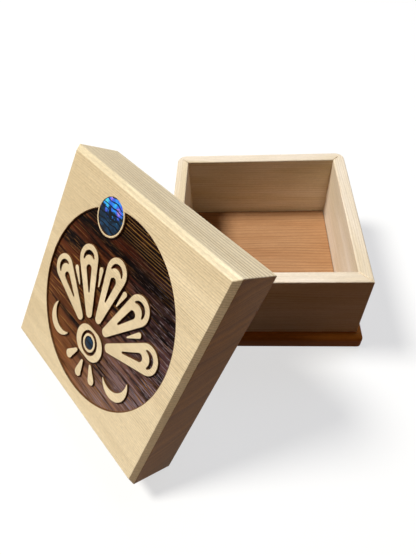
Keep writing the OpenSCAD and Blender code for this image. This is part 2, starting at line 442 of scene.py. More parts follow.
def placed(mesh, name, place, body):
    mesh.transform(place)
    piece = crisp(linked(name, mesh))
    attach(piece, body)
    return piece


def cutHoles(piece, cutter):
    cut = piece.modifiers.new("peg_holes", "BOOLEAN")
    cut.operation = "DIFFERENCE"
    cut.solver = "EXACT"
    cut.object = cutter
    piece.data = plainMesh(piece, cut, piece.name)


# the bent plank's sizes, which the pegs, the board and the lid follow
plankLow, plankHigh = [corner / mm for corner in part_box("side_plank")]
sidePlank = {
    "side": plankHigh.x - plankLow.x,
    "bottom": plankLow.z,
    "rim": plankHigh.z,
    "wall": 6.8,
    "bend": 5.5,  # outer radius of the three bent corners
    "kerfWidth": 0.12,  # bent shut until a hairline is left
    "kerfWeb": 3.0,
    "glueLine": 0.08,
    "rimEase": 0.7,  # sanded arris of the rim
    "footEase": 0.25,
}
insideSide = sidePlank["side"] - 2 * sidePlank["wall"]

# pegs first, because the planks are bored for them
pegs = {
    "radius": 1.5,
    "holeGap": 0.05,
    "cornerCount": 4,
    "cornerLength": 20.0,
    "cornerMargin": 6.5,
    "cornerProud": 0.15,  # peg ends stand a hair out of the sanded face
    "wallCount": 2,
    "walls": 4,
    "bottomLength": 22.0,
    "bottomMargin": 24.0,
    "bottomSunk": 0.1,
    "ease": 0.3,
    "easeKnee": 0.08,
    "boreOver": 2.0,  # how much longer the bores are cut
    "seed": 4,
}
pegWood = cedarMaterial("yew_peg_cut_flush", {
    **cedarLook,
    "offset": (2.0, 4.0, 6.0),
    "ringNormal": (0.5, 0.7, 0.5),
    "ringSpacing": 0.7,
    "waver": 3.0,
    "rings": (0.2, 0.8),
    "tones": ("#c79a64", "#b58550", "#7d5228"),  # pale, warm and late wood
    "fibreLow": 0.82,
    "gloss": 0.15,
    "bump": 0.3,
})


def pegRowTree():
    # rows of pegs, each row turned a step further about the box's upright axis
    tree, given = newTree("peg_rows", [
        ("Pegs in Row", "Int", 2),
        ("Row Start", "Vector", (0.0, 0.0, 0.0)),
        ("Row Step", "Vector", (0.0, 0.0, 1.0)),
        ("Rows", "Int", 1),
        ("Turn", "Float", 0.0),
        ("Peg Axis", "Vector", (0.0, 0.0, 1.0)),
        ("Seed", "Int", 0),
        ("Material", "Material", None),
    ])
    row = addNode(tree, "GeometryNodeMeshLine", {
        "Count": given["Pegs in Row"],
        "Start Location": given["Row Start"],
        "Offset": given["Row Step"],
    })
    spin = addNode(tree, "FunctionNodeRandomValue", {
        2: 0.0, 3: 2 * math.pi, "Seed": given["Seed"],
    }, 1, data_type="FLOAT")
    aim = addNode(tree, "FunctionNodeAxisAngleToRotation", {"Axis": given["Peg Axis"], "Angle": spin})
    stand = addNode(tree, "FunctionNodeAlignRotationToVector", {"Vector": given["Peg Axis"]}, axis="Z")
    turned = addNode(tree, "FunctionNodeRotateRotation", {"Rotation": stand, "Rotate By": aim},
                     rotation_space="GLOBAL")
    pegsInRow = addNode(tree, "GeometryNodeInstanceOnPoints", {
        "Points": row, "Instance": given["Geometry"], "Rotation": turned,
    })
    middles = addNode(tree, "GeometryNodeMeshLine", {"Count": given["Rows"], "Offset": (0.0, 0.0, 0.0)})
    index = addNode(tree, "GeometryNodeInputIndex")
    angle = addNode(tree, "Math", {0: index, 1: given["Turn"]}, operation="MULTIPLY")
    wallTurn = addNode(tree, "FunctionNodeAxisAngleToRotation", {
        "Axis": (0.0, 0.0, 1.0), "Angle": angle,
    })
    rows = addNode(tree, "GeometryNodeInstanceOnPoints", {
        "Points": middles, "Instance": pegsInRow, "Rotation": wallTurn,
    })
    real = addNode(tree, "GeometryNodeRealizeInstances", {"Geometry": rows})
    coloured = addNode(tree, "GeometryNodeSetMaterial", {
        "Geometry": real, "Material": given["Material"],
    })
    setInputs(tree.nodes.new("NodeGroupOutput"), {"Geometry": coloured})
    return tree


def pegSource(length, radius, name):
    ease, knee = pegs["ease"], pegs["easeKnee"]
    low = [(ease, 0), (knee, knee), (0, ease)]
    high = [(inset, length - z) for inset, z in reversed(low)]
    return closedLoft(name, circleOutline(0, 0, radius, 0.5), low + high, unmoved, [])


pegTree = pegRowTree()
wallMiddle = (sidePlank["side"] - sidePlank["wall"]) / 2
cornerSpan = sidePlank["rim"] - sidePlank["bottom"] - 2 * pegs["cornerMargin"]
bottomReach = sidePlank["side"] / 2 - pegs["bottomMargin"]
pegRows = {
    "corner": {
        "Pegs in Row": pegs["cornerCount"],
        "Row Start": (sidePlank["side"] / 2 - pegs["cornerLength"] + pegs["cornerProud"], -wallMiddle,
                      sidePlank["bottom"] + pegs["cornerMargin"]),
        "Row Step": (0.0, 0.0, cornerSpan / (pegs["cornerCount"] - 1)),
        "Rows": 1,
        "Turn": 0.0,
        "Peg Axis": (1.0, 0.0, 0.0),
    },
    "bottom": {
        "Pegs in Row": pegs["wallCount"],
        "Row Start": (-bottomReach, -wallMiddle, pegs["bottomSunk"]),
        "Row Step": (2 * bottomReach / (pegs["wallCount"] - 1), 0.0, 0.0),
        "Rows": pegs["walls"],
        "Turn": math.pi / 2,
        "Peg Axis": (0.0, 0.0, 1.0),
    },
}
bores = []
for kind, back in [("corner", 0), ("bottom", pegs["boreOver"])]:
    row = {**pegRows[kind], "Seed": pegs["seed"], "Material": pegWood}
    length, name = pegs[kind + "Length"], kind + "_pegs"
    peg = pegSource(length, pegs["radius"], kind + "_peg_shape")
    driven = placed(grown(peg, pegTree, row, name), name, boxPlace, "box")
    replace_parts(driven, *[f"{kind}_peg_{i + 1}" for i in range(row["Pegs in Row"] * row["Rows"])])
    # the same rows a little fatter and longer bore the holes
    bore = pegSource(length + pegs["boreOver"], pegs["radius"] + pegs["holeGap"], "bore_shape")
    row["Row Start"] = Vector(row["Row Start"]) - Vector((0, 0, back))
    mesh = grown(bore, pegTree, row, "bores")
    mesh.transform(boxPlace)
    bores.append(linked("bores", mesh))
    for source in (peg, bore):
        bpy.data.objects.remove(source)
print("pegs driven")


# the bent plank
def bentPlankOutline(size):
    # one loop: round the outside from the mitre, then back round the inside with its kerfs
    half = size["side"] / 2
    inner = half - size["wall"]
    bend = size["bend"]
    slit = size["glueLine"] / math.sqrt(2)
    reach = half - bend
    outside = [(half, slit - half)]
    for sx, sy, a in [(1, 1, 0), (-1, 1, 90), (-1, -1, 180)]:
        outside += arc(sx * reach, sy * reach, bend, a, a + 90)
    outside += [(half - slit, -half)]
    kerf = size["kerfWidth"] / math.sqrt(2)
    depth = math.sqrt(2) * (size["wall"] - bend * (1 - math.sqrt(0.5))) - size["kerfWeb"]
    deep = inner + depth / math.sqrt(2)
    inside = [(inner - slit, -inner)]
    for sx, sy in [(-1, -1), (-1, 1), (1, 1)]:
        slot = [
            (sx * inner, sy * (inner - kerf)),
            (sx * (deep + kerf / 2), sy * (deep - kerf / 2)),
            (sx * (deep - kerf / 2), sy * (deep + kerf / 2)),
            (sx * (inner - kerf), sy * inner),
        ]
        inside += slot[::-1] if sx == sy else slot
    inside += [(inner, slit - inner)]
    return outside + inside


def grainAlongPlank(x, y, z, size):
    # where a point lies on the plank before it was bent: along it, into it and up it
    half = size["side"] / 2
    if -y >= abs(x):
        along, into = x, half + y
    elif x >= abs(y):
        along, into = 2 * half + y, half - x
    elif y >= abs(x):
        along, into = 4 * half - x, half - y
    else:
        along, into = 6 * half - y, half + x
    return along, into, z


plankCedar = cedarMaterial("yellow_cedar_bent_plank", {
    **cedarLook,
    "place": None,
    "offset": (5.0, 2.0, 1.0),
    "ringNormal": (0.0, 0.78, 0.62),
    "ringSpacing": 1.0,
    "waver": 8.0,
    # painted shade: warmer and darker towards the left wall, whose rim lay in shade
    "warmAlong": (0.0009, 0.0, 0.0),
    "warmStart": -0.12,
    "tones": ("#ece0d0", "#d9c8a8", "#b99a74"),
    "fibreLow": 0.9,
    "roughness": 0.46,
    "bump": 0.35,
})
foot, arris = sidePlank["footEase"], sidePlank["rimEase"] * 0.6
plankProfile = easedProfile([
    (foot, sidePlank["bottom"]),
    (0, sidePlank["bottom"] + foot),
    (0, sidePlank["rim"] - arris),
    (arris, sidePlank["rim"]),
    (arris * 2, sidePlank["rim"]),
], arris / 2)
bentSides = closedLoft("bent_sides", bentPlankOutline(sidePlank), plankProfile, boxPlace, [plankCedar])
for bore in bores:
    cutHoles(bentSides, bore)
crisp(bentSides)
grain = bentSides.data.attributes.new("grain", "FLOAT_VECTOR", "POINT")
along = [grainAlongPlank(*(v.co / mm), sidePlank) for v in bentSides.data.vertices]
grain.data.foreach_set("vector", np.array(along, np.float32).ravel())
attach(bentSides, "box")
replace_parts(bentSides, "side_plank")
print("side plank bent,", len(bentSides.data.polygons), "faces")

# the bottom board with its raised panel
boardLow, boardHigh = [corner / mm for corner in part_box("bottom_board")]
bottomBoard = {
    "side": boardHigh.x - boardLow.x,
    "thick": plankLow.z,
    "panelTop": boardHigh.z,
    "panelGap": 0.2,
    "panelCorner": 1.2,
    "panelEase": 0.5,
    "round": 3.6,  # of the upper edges
    "footRound": 0.8,
    "corner": 2.2,
}
redCedar = {
    **cedarLook,
    "offset": (1.0, 7.0, 3.0),
    "ringNormal": (0.0, 0.88, 0.47),
    "waver": 12.0,
}
boardCedar = cedarMaterial("red_cedar_bottom_board", {
    **redCedar,
    "ringSpacing": 2.4,
    "rings": (0.05, 0.22),
    "tones": ("#ba7029", "#ac6622", "#8a4b16"),
    "grainAxis": (1.0, 0.0, 0.0),
    "endTones": ("#7d5c42", "#a8866a"),
    "endAmount": 0.7,
})
panelCedar = cedarMaterial("red_cedar_bare_panel", {
    **redCedar,
    "ringSpacing": 2.0,
    "rings": (0.1, 0.6),
    "tones": ("#b58a63", "#a67852", "#7f5a3a"),
    "roughness": 0.62,
})
bm = bmesh.new()
quarter = [(1 - math.sin(math.radians(15 * i)), 1 - math.cos(math.radians(15 * i))) for i in range(7)]
footRound = bottomBoard["footRound"]
boardProfile = [(footRound * inset, footRound * z) for inset, z in quarter]
boardProfile += [
    (bottomBoard["round"] * inset, bottomBoard["thick"] - bottomBoard["round"] * z)
    for inset, z in reversed(quarter)
]
boardOutline = squareInwards(bottomBoard["side"], bottomBoard["corner"])
boardRings = loft(bm, boardOutline, boardProfile, boxPlace, 0)
panelOutline = squareInwards(insideSide - 2 * bottomBoard["panelGap"], bottomBoard["panelCorner"])
panelTop = roundOver(bottomBoard["panelTop"], bottomBoard["panelEase"])
panelRings = loft(bm, panelOutline, [(0, bottomBoard["thick"]), *panelTop], boxPlace, 1)
fillRings(bm, [boardRings[0]], 0)
fillRings(bm, [boardRings[-1], panelRings[0]], 0)
fillRings(bm, [panelRings[-1]], 1)
footBoard = finishMesh(bm, "foot_board", [boardCedar, panelCedar])
cutHoles(footBoard, bores[1])
for bore in bores:
    bpy.data.objects.remove(bore)
crisp(footBoard)
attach(footBoard, "box")
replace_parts(footBoard, "bottom_board")
print("bottom board made")

# the lid and what is let into it
lidPlank = {
    "yaw": -47.5,  # degrees, as the CAD lid is turned and leant
    "lean": 36.1,
    "side": 114.0,
    "thick": 25.0,
    "chamfer": 2.4,
    "plugDepth": 6.5,
    "plugGap": 0.5,
    "plugCorner": 1.0,
    "ease": 0.18,
    "cornerRound": 0.5,
    "flat": 1.0,  # flat strip that is kept beside each eased edge
    "endGrain": 0.95,  # how squarely a face looks along the grain where it is end grain
}
sunkGround = {
    "radius": 47.0,
    "depth": 0.9,
    "rimEdge": 0.4,  # softened edge of the rim, where the stain ran over
    "rimGap": 0.25,  # the rim's strip of floor that has no vertices of its own
    "spacing": 1.25,  # growth rings left standing by the blasting
    "height": 0.2,
    "across": (0.02, 0.99),  # across the rings, a hair off the lid's own axis
    "wander": [(110, 30, 4.5), (30, 5, 0.12)],  # of the rings: its length, width and reach
    "uneven": (4.5, 1.2),  # wide and narrow years: over how much, and by how much
    "streaks": [(35, 1.5, 1.0), (14, 0.7, 0.6)],  # length, width and strength
    "linesTowards": (0.2, 0.97),  # clear lines that way from the middle, broken streaks elsewhere
    "linesFrom": 29.0,
    "linesFade": 9.0,
    "alongStep": 1.8,  # mesh steps along and across the grain
    "acrossStep": 0.2,
    "seed": 7.0,
    "browns": [(0.0, "#3c1608"), (0.35, "#5c2d16"), (0.7, "#58301a"), (1.0, "#845231")],  # as worn
    # painted reflection: grey tones where the varnish mirrors the sky, as worn
    "reflectedSkyGreys": [(0.0, "#30201f"), (0.3, "#5b3d3d"), (0.7, "#7c5b50"), (1.0, "#9a745e")],
    "streakTones": ("#875536", "#8b7a80"),  # where it is brown and where it is painted grey as reflected sky
    # painted highlights: glints of the varnish on fibre tips, brown and grey
    "paintedGlintTones": ("#875a3c", "#a39398"),
    "furrowTone": "#0a0302",
    "lineTone": "#8a642f",
    "threadTone": "#a3703c",
}
shell = {
    "radius": 8.6,
    "ring": 1.4,
    "inset": 3.6,
    "angle": 112.2,
    "inlayRadius": 3.2,
    "thick": 1.8,
    "gap": 0.1,
    "socketEase": 0.1,
    "dome": 0.12,  # polished a little crowned
    "ease": 0.25,
    "flashTones": [(0.3, "#4bd0ec"), (0.4, "#38a8ff"), (0.5, "#2b78ee"),
                   (0.58, "#4a5fe8"), (0.66, "#8a78f0"), (0.76, "#c0a0ea")],
    "slateTones": [(0.34, "#09151e"), (0.5, "#10283e"), (0.64, "#193f60")],
    "towards": (0.04, 1.0, 0.0),  # across the growth lines, to the side that flashes
    "lineSpacing": 2.4,
    "lineWaver": 5.5,
    "lineTone": "#030c12",
}

# where the lid leans, taken from the CAD shell disc that is let into it
lidTurn = Matrix.Rotation(math.radians(lidPlank["yaw"]), 4, "Z")
lidTurn = lidTurn @ Matrix.Rotation(math.radians(90 - lidPlank["lean"]), 4, "X")
shellAway = sunkGround["radius"] - shell["inset"]
shellX = shellAway * math.cos(math.radians(shell["angle"]))
shellY = shellAway * math.sin(math.radians(shell["angle"]))
discLow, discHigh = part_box("shell_disc")
discMiddle = Vector((shellX, shellY, lidPlank["thick"] - shell["thick"] / 2)) * mm
lidMiddle = (discLow + discHigh) / 2 - lidTurn @ discMiddle
lidFrame = Matrix.Translation(lidMiddle) @ lidTurn
lidPlace = lidFrame @ Matrix.Scale(mm, 4)
lidAlong = (lidTurn @ Vector((1, 0, 0))).normalized()
lidUp = (lidTurn @ Vector((0, 1, 0))).normalized()
print("lid middle at", [round(x / mm, 2) for x in lidMiddle])


def groundMaterial(name, look):
    # sandblasted cedar stained dark brown and varnished: standing growth lines rubbed to a lighter red
    # brown, near-black furrows, a broken wet gloss, with painted reflection of the sky and painted
    # glints in the varnish
    material, tree, shader = newMaterial(name)
    vector = ownAxes(tree, lidFrame)
    ridge = addNode(tree, "Attribute", output="Fac", attribute_name="ridge")
    # the stain took well towards the upper right and was rubbed thin towards the lower left
    worn = fadeAlong(tree, vector, (-0.2, -0.98, 0.0), (-35.0, 42.0))
    # painted reflection: the tones turn grey towards the lower right, where the varnish mirrors the
    # bluish sky; streaks and raised fibres crowd there too
    reflectedSkyShare = fadeAlong(tree, vector, (0.98, -0.2, 0.0), (-8.0, 30.0), interpolation="SMOOTHSTEP")
    lowRight = fadeAlong(tree, vector, (0.85, -0.5, 0.0), (8.0, 34.0))
    band, streak, cloud, fuzz, thread = grainPatterns(tree, vector, [
        ((1 / 45, 1 / 4, 1 / 4), (2.3, 5.4, 0.0), 3.0, 0.55),  # soft rubbed bands, 45 mm by 4 mm
        ((1 / 35, 1 / 0.6, 1 / 2), (1.3, 6.0, 0.0), 3.0, 0.6),  # straight streaks, 35 mm by 0.6 mm
        ((1 / 30, 1 / 10, 1 / 10), (0.4, 2.2, 0.0), 1.0, 0.5),  # clouds of them, 30 mm by 10 mm
        ((1 / 6, 1 / 0.42, 1 / 0.5), (0, 0, 0), 2.0, 0.6),  # fibre ends, 0.5 mm wide so that they show; painted glints sit on their tips
        ((1 / 16, 1 / 0.55, 1 / 0.5), (9.0, 3.0, 0.0), 2.0, 0.6),  # threads rubbed through to bare wood
    ])
    band = addNode(tree, "Math", {0: worn, 1: 0.16, 2: band}, operation="MULTIPLY_ADD")
    crowd = addNode(tree, "MapRange", {"Value": lowRight, "To Min": -0.38, "To Max": -0.19})
    crowd = addNode(tree, "Math", {0: cloud, 1: 0.5, 2: crowd}, operation="MULTIPLY_ADD")
    crowd = addNode(tree, "Math", {0: streak, 1: crowd}, operation="ADD")
    towardsTop = addNode(tree, "VectorMath", {
        0: vector, 1: (*look["linesTowards"], 0.0),
    }, "Value", operation="DOT_PRODUCT")
    crest, threadMost, paintedGlintMost = [
        addNode(tree, "MapRange", {
            "Value": measure, "From Min": start, "From Max": end, "To Min": low, "To Max": high,
        })
        for measure, start, end, low, high in [
            (ridge, 0.5, 0.9, 0.0, 0.9), (worn, 0.1, 0.5, 0.15, 0.8), (lowRight, 0.0, 1.0, 0.25, 0.85),
        ]
    ]
    brown, grey = [
        addNode(tree, "ValToRGB", {"Fac": worn}, stops=hexStops(stops))
        for stops in (look["browns"], look["reflectedSkyGreys"])
    ]
    bandTone, streakTone, paintedGlintTone = [
        addNode(tree, "Mix", {0: reflectedSkyShare, 6: warm, 7: cold}, 2, data_type="RGBA")
        for warm, cold in [
            (brown, grey), map(linear, look["streakTones"]), map(linear, look["paintedGlintTones"]),
        ]
    ]
    furrowTone = linear(look["furrowTone"])
    colour = layered(tree, furrowTone, [
        (band, 0.44, 0.7, 0.0, 1.0, bandTone),
        (streak, 0.34, 0.5, 0.7, 0.0, furrowTone),
        (crowd, 0.56, 0.72, 0.0, 0.85, streakTone),
        (towardsTop, 31.0, 42.0, 0.0, crest, linear(look["lineTone"])),
        (thread, 0.58, 0.66, 0.0, threadMost, linear(look["threadTone"])),
        # painted highlights: varnish glints on raised fibre tips, crowding towards the lower right
        (fuzz, 0.57, 0.72, 0.0, paintedGlintMost, paintedGlintTone),
    ])
    gloss = addNode(tree, "MapRange", {"Value": streak, **noiseSpan, "To Min": 0.24, "To Max": 0.46})
    bump = addNode(tree, "Bump", {"Height": fuzz, "Strength": 0.6, "Distance": 0.15 * mm})
    setInputs(shader, {
        "Base Color": colour, "Roughness": gloss, "Normal": bump,
        "IOR": 1.5, "Specular IOR Level": 0.02,
    })
    return material


lidLook = {
    **cedarLook,
    "place": lidFrame,
    "offset": (0.0, 0.0, 0.0),
    "ringNormal": (0.0, 0.92, 0.39),
    "ringSpacing": 0.95,
    "waver": 6.0,
    "rings": (0.1, 0.6),
    "clearAlong": (0.7, 0.7, 0.0),
    "clearEnds": (-45.0, 45.0),
    "clearLeast": 0.2,
    "warmAlong": (-0.0033, 0.0018, 0.0),
    "warmStart": 0.0,
    "tones": ("#f3e0ba", "#ddc8a0", "#b4986f"),
    "fibreLow": 0.9,
    "fleck": 0.095,
    "patchDetail": 5.0,
    "flatSide": lidUp,
    "flatBold": 1.85,
    # painted sky light: the tint that makes the upper side cooler and greyer
    "paintedSkyTint": (1.0, 1.04, 1.09, 1.0),
    "grainAxis": lidAlong,
    "endTones": ("#a07c4a", "#d5ae6c"),
    "endAmount": 0.9,
    "gloss": 0.15,
    "roughness": 0.42,
    "bump": 0.35,
}
lidCedar = cedarMaterial("yellow_cedar_planed_lid", lidLook)
lidEnd = cedarMaterial("yellow_cedar_end_grain", {**lidLook, "gloss": 0.082})  # duller
# the walls of the carving and the recess: real stain that crept up them, drawn darker still as painted
# shade in these narrow walls
carvedSide = cedarMaterial("yellow_cedar_carved_side", {
    **cedarLook,
    "place": lidFrame,
    "offset": (0.0, 0.0, 0.0),
    "ringNormal": (0.0, 0.92, 0.39),
    "ringSpacing": 1.25,
    "waver": 7.0,
    "tones": ("#7d5530", "#5f3d21", "#342012"),
    "fibreLow": 0.75,
    "fleck": 0.15,
    "gloss": 0.1,
    "bump": 0.3,
})
stainedGround = groundMaterial("cedar_sandblasted_dark_stain", sunkGround)


def ridgeAt(x, y):
    # height share of what the blasting left standing, 0 in a furrow and 1 on a ridge
    size = sunkGround
    seed = size["seed"]
    place = x * size["across"][0] + y * size["across"][1]
    for (length, width, reach), offset in zip(size["wander"], (0, 3)):
        place += reach * noise.noise(Vector((x / length, y / width, seed + offset)))
    over, change = size["uneven"]
    place += change * noise.noise(Vector((0, place / over, seed + 9)))
    line = (0.5 + 0.5 * math.cos(2 * math.pi * place / size["spacing"])) ** 3
    streak = 0.0
    for (length, width, strength), offset in zip(size["streaks"], (17, 23)):
        streak += strength * noise.noise(Vector((x / length, place / width, seed + offset)))
    streak = max(0.0, min(1.0, 0.45 + 0.6 * streak))
    towards = x * size["linesTowards"][0] + y * size["linesTowards"][1]
    high = max(0.0, min(1.0, (towards - size["linesFrom"]) / size["linesFade"]))
    return high * line + (1 - high) * streak


def groundOutline():
    # the round ground, less the ring that stands round the shell disc
    radius, ringRadius = sunkGround["radius"], shell["radius"] + shell["ring"]
    atMiddle = (shellAway ** 2 + radius ** 2 - ringRadius ** 2) / (2 * shellAway * radius)
    atRing = (shellAway ** 2 + ringRadius ** 2 - radius ** 2) / (2 * shellAway * ringRadius)
    gap = math.degrees(math.acos(atMiddle))
    sweep = math.degrees(math.acos(atRing))
    inwards = shell["angle"] + 180
    wide = arc(0, 0, radius, shell["angle"] + gap, shell["angle"] + 360 - gap, 0.8)
    near = arc(shellX, shellY, ringRadius, inwards + sweep, inwards - sweep)
    return wide + near[1:-1]


def carvedLid():
    bm = bmesh.new()
    size, cut = lidPlank, sunkGround
    top, flat = size["thick"], size["flat"]
    sides = loft(bm, squareInwards(size["side"], size["cornerRound"]), easedProfile([
        (flat, 0),
        (0, 0),
        (0, top - size["chamfer"]),
        (size["chamfer"], top),
        (size["chamfer"] + flat, top),
    ], size["ease"]), lidPlace, 0)
    ground = groundOutline()
    groundRings = loft(bm, ground, roundOver(top, cut["rimEdge"], -1)[::-1], lidPlace, 2)

    def floorHeights(points):
        return [top - cut["depth"] + cut["height"] * (ridgeAt(x, y) - 0.5) for x, y in points]

    groundFoot = addRing(bm, ground, floorHeights(ground), lidPlace)
    bridge(bm, groundRings[-1], groundFoot, 2)
    socket = circleOutline(shellX, shellY, shell["radius"] + shell["gap"])
    socketEase = shell["socketEase"]
    socketRings = loft(bm, socket, [
        (-socketEase, top), (0, top - socketEase), (0, top - shell["thick"]),
    ], lidPlace, 2)
    fillRings(bm, [sides[-1], groundRings[0], socketRings[0]], 0)
    fillRings(bm, [socketRings[-1]], 2)
    # the sandblasted floor
    reach = cut["radius"]
    xs = np.arange(-reach, reach, cut["alongStep"])
    ys = np.arange(-reach, reach, cut["acrossStep"])
    spread = np.array([(x, y) for y in ys for x in xs])
    clear = insideRings(spread, [(None, insetOutline(ground, cut["rimGap"]))])
    loosePoints = [tuple(p) for p in spread[clear]]
    loose = addRing(bm, loosePoints, floorHeights(loosePoints), lidPlace)
    fillRings(bm, [groundFoot], 1, loose)
    # underside and the step that drops into the box
    plugOutline = squareInwards(insideSide - 2 * size["plugGap"], size["plugCorner"])
    plug = loft(bm, plugOutline, easedProfile([
        (0, 0), (0, -size["plugDepth"]), (flat, -size["plugDepth"]),
    ], size["ease"]), lidPlace, 0)
    fillRings(bm, [sides[0], plug[0]], 0)
    fillRings(bm, [plug[-1]], 0)
    made = crisp(finishMesh(bm, "carved_lid", [lidCedar, stainedGround, carvedSide, lidEnd]))
    for face in made.data.polygons:
        if face.material_index == 0 and abs(face.normal.dot(lidAlong)) > size["endGrain"]:
            face.material_index = 3
    return made


lid = carvedLid()
lidToLocal = lidPlace.inverted()
ridge = lid.data.attributes.new("ridge", "FLOAT", "POINT")
local = [lidToLocal @ v.co for v in lid.data.vertices]
ridge.data.foreach_set("value", np.array([ridgeAt(p.x, p.y) for p in local], np.float32))
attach(lid, "lid")
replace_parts(lid, "lid_plank")
print("lid made,", len(lid.data.polygons), "faces")

# the relief left standing in the ground
relief = {
    "edge": 0.14,  # softened top edge
    "foot": 0.5,  # how far the walls run down below the ground
    "batter": 0.06,  # how much wider they are at the foot
    "blunt": 0.4,  # radius of the crescents' horns
    # how many, degrees apart, turned which way, how far from the hub, and length and end radii
    "feathers": (5, 30.0, 0, 14.5, (26.0, 2.4, 7.2)),
    "buds": (4, 30.0, 0, 29.0, (8.0, 0.5, 1.5)),
    "roots": (3, 34.0, 180, 11.5, (7.0, 1.0, 2.4)),
    "crescent": (4.2, 2.2),  # radius and rise, in each feather
    "tear": (11.0, 0.4, 1.9),  # length and end radii
    "tearDrop": 4.6,
    "hubDrop": 20.0,
    "hubRadius": 8.0,
    "hubLength": 5.0,
    "eyeRadius": 6.2,
    "eyeWidth": 1.4,
    "moon": (9.0, 4.6),
    "moonSide": 24.5,
    "moonDrop": 23.5,
    "moonTilt": 32.0,
}


def standingShape(name, parts):
    # parts are (outline, holes); walls are marked so that the stain, and the painted shade drawn with
    # it, can creep up them
    bm = bmesh.new()
    top = lidPlank["thick"]
    foot = top - sunkGround["depth"] - relief["foot"]
    for outline, holes in parts:
        lows, highs = [], []
        for loop, sign in [(outline, 1)] + [(hole, -1) for hole in holes]:
            profile = [(-sign * relief["batter"], foot), *roundOver(top, relief["edge"], sign)]
            rings = loft(bm, loop, profile, unmoved, 1)
            lows.append(rings[0])
            highs.append(rings[-1])
        fillRings(bm, lows, 1)
        fillRings(bm, highs, 0)
    made = finishMesh(bm, name, [lidCedar, carvedSide])
    mark = made.data.attributes.new("carvedSide", "BOOLEAN", "FACE")
    mark.data.foreach_set("value", [p.material_index == 1 for p in made.data.polygons])
    return made


def fanTree():
    # copies of one carved shape, fanned evenly about the hub
    tree, given = newTree("carved_fan", [
        ("Count", "Int", 5),
        ("Step", "Float", 0.5),
        ("Middle", "Float", 0.0),
        ("Start", "Float", 10.0),
        ("Hub Drop", "Float", 20.0),
        ("Face", "Material", None),
        ("Side", "Material", None),
    ])
    out = addNode(tree, "CombineXYZ", {"Y": given["Start"]})
    shape = addNode(tree, "GeometryNodeTransform", {"Geometry": given["Geometry"], "Translation": out})
    drop = addNode(tree, "Math", {0: given["Hub Drop"], 1: -1.0}, operation="MULTIPLY")
    hub = addNode(tree, "CombineXYZ", {"Y": drop})
    points = addNode(tree, "GeometryNodeMeshLine", {
        "Count": given["Count"], "Start Location": hub, "Offset": (0.0, 0.0, 0.0),
    })
    last = addNode(tree, "Math", {0: given["Count"], 1: 1.0}, operation="SUBTRACT")
    half = addNode(tree, "Math", {0: last, 1: 0.5}, operation="MULTIPLY")
    index = addNode(tree, "GeometryNodeInputIndex")
    place = addNode(tree, "Math", {0: index, 1: half}, operation="SUBTRACT")
    angle = addNode(tree, "Math", {0: place, 1: given["Step"], 2: given["Middle"]},
                    operation="MULTIPLY_ADD")
    turn = addNode(tree, "FunctionNodeAxisAngleToRotation", {"Axis": (0.0, 0.0, 1.0), "Angle": angle})
    fan = addNode(tree, "GeometryNodeInstanceOnPoints", {
        "Points": points, "Instance": shape, "Rotation": turn,
    })
    real = addNode(tree, "GeometryNodeRealizeInstances", {"Geometry": fan})
    faced = addNode(tree, "GeometryNodeSetMaterial", {"Geometry": real, "Material": given["Face"]})
    isSide = addNode(tree, "GeometryNodeInputNamedAttribute", {"Name": "carvedSide"}, "Attribute",
                     data_type="BOOLEAN")
    sided = addNode(tree, "GeometryNodeSetMaterial", {
        "Geometry": faced, "Selection": isSide, "Material": given["Side"],
    })
    setInputs(tree.nodes.new("NodeGroupOutput"), {"Geometry": sided})
    return tree


featherLength, tearLength = relief["feathers"][-1][0], relief["tear"][0]
crescent = moved(crescentOutline(*relief["crescent"], relief["blunt"]), 180, 0, featherLength)
tear = moved(taperOutline(*relief["tear"]), 0, 0, featherLength - relief["tearDrop"] - tearLength)
reliefTree = fanTree()
for name, holes in [("feathers", [crescent, tear]), ("buds", []), ("roots", [])]:
    count, step, middle, start, taper = relief[name]
    source = standingShape(name + "_shape", [(taperOutline(*taper), holes)])
    mesh = grown(source, reliefTree, {
        "Count": count,
        "Step": math.radians(step),
        "Middle": math.radians(middle),
        "Start": start,
        "Hub Drop": relief["hubDrop"],
        "Face": lidCedar,
        "Side": carvedSide,
    }, "carved_" + name)
    placed(mesh, "carved_" + name, lidPlace, "lid")
    bpy.data.objects.remove(source)

drop = relief["hubDrop"]
hubLength, hubRadius = relief["hubLength"], relief["hubRadius"]
hubOutline = moved(taperOutline(hubLength, hubRadius, hubRadius), 90, hubLength / 2, -drop)
eyeOuter = circleOutline(0, -drop, relief["eyeRadius"])
eyeInner = circleOutline(0, -drop, relief["eyeRadius"] - relief["eyeWidth"])
inlaySocket = circleOutline(0, -drop, shell["inlayRadius"] + shell["gap"])
moon = crescentOutline(*relief["moon"], relief["blunt"])
hubAndMoons = standingShape("hub_shape", [
    (hubOutline, [eyeOuter]),
    (eyeInner, [inlaySocket]),
    (moved(moon, relief["moonTilt"], relief["moonSide"], -relief["moonDrop"]), []),
    (moved(moon, -relief["moonTilt"], -relief["moonSide"], -relief["moonDrop"]), []),
])
hubMesh = hubAndMoons.data
bpy.data.objects.remove(hubAndMoons)
placed(hubMesh, "carved_hub", lidPlace, "lid")
print("relief carved")


